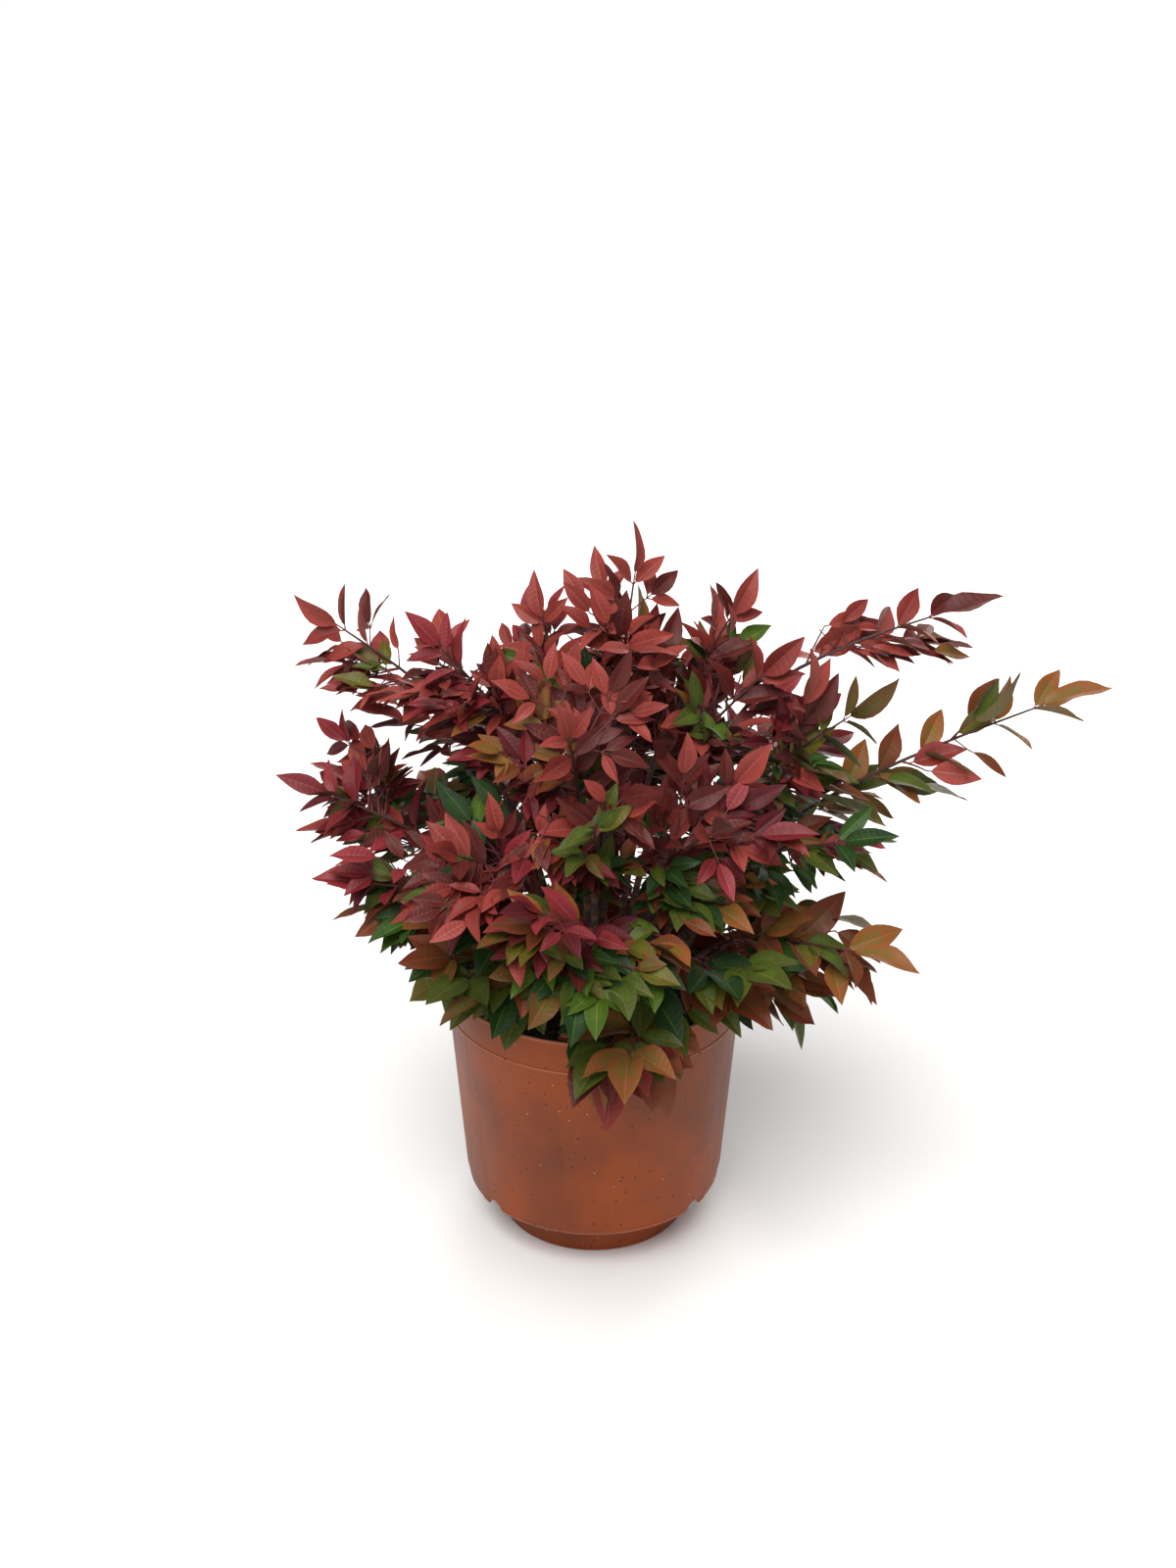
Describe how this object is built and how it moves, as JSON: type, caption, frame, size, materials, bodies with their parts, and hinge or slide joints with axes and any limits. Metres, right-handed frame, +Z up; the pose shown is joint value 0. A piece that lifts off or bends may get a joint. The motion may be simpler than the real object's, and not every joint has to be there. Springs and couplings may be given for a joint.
{
  "type": "potted heavenly bamboo shrub",
  "caption": "Compact leafy shrub whose canes fan out of a round tapered plastic pot and carry pinnate foliage turning from green to crimson.",
  "frame": {"origin": "middle of the pot's flat underside, on the ground", "axes": "+Z up, -Y towards the front of the plant, +X to the right seen from the front, along the longest shoots"},
  "size_m": [0.5767, 0.4219, 0.5445],
  "materials": {
    "terracotta_plastic": "satin moulded plastic, terracotta colour",
    "potting_soil": "rough dark fibrous soil",
    "cane_bark": "dull brown bark with fine furrows",
    "leaf_crimson": "satin leaf, crimson",
    "leaf_bronze": "satin leaf, bronze",
    "leaf_green": "satin leaf, green"
  },
  "bodies": {
    "root": {"cane_back_left": "cane_bark", "cane_back_low_left": "cane_bark", "cane_back_low_right": "cane_bark", "cane_back_mid": "cane_bark", "cane_back_right": "cane_bark", "cane_back_top": "cane_bark", "cane_front_left": "cane_bark", "cane_front_mid": "cane_bark", "cane_front_right": "cane_bark", "cane_front_top": "cane_bark", "cane_front_upper": "cane_bark", "cane_inner": "cane_bark", "cane_left_high": "cane_bark", "cane_left_low": "cane_bark", "cane_left_mid": "cane_bark", "cane_left_upper": "cane_bark", "cane_low_front": "cane_bark", "cane_low_front_left": "cane_bark", "cane_low_front_right": "cane_bark", "cane_low_right": "cane_bark", "cane_right_far": "cane_bark", "cane_right_high": "cane_bark", "cane_right_low": "cane_bark", "cane_right_mid": "cane_bark", "cane_right_under": "cane_bark", "cane_right_upper": "cane_bark", "cane_top": "cane_bark", "cane_top_left": "cane_bark", "cane_top_right": "cane_bark", "foliage_back_left": "leaf_crimson", "foliage_back_low_left": "leaf_green", "foliage_back_low_right": "leaf_green", "foliage_back_mid": "leaf_green", "foliage_back_right": "leaf_crimson", "foliage_back_top": "leaf_crimson", "foliage_front_left": "leaf_crimson", "foliage_front_mid": "leaf_green", "foliage_front_right": "leaf_crimson", "foliage_front_top": "leaf_crimson", "foliage_front_upper": "leaf_crimson", "foliage_inner": "leaf_green", "foliage_left_high": "leaf_crimson", "foliage_left_low": "leaf_green", "foliage_left_mid": "leaf_crimson", "foliage_left_upper": "leaf_crimson", "foliage_low_front": "leaf_bronze", "foliage_low_front_left": "leaf_green", "foliage_low_front_right": "leaf_bronze", "foliage_low_right": "leaf_bronze", "foliage_right_far": "leaf_crimson", "foliage_right_high": "leaf_crimson", "foliage_right_low": "leaf_bronze", "foliage_right_mid": "leaf_crimson", "foliage_right_under": "leaf_crimson", "foliage_right_upper": "leaf_crimson", "foliage_top": "leaf_crimson", "foliage_top_left": "leaf_crimson", "foliage_top_right": "leaf_crimson", "pot": "terracotta_plastic", "substrate": "potting_soil"}
  },
  "joints": []
}
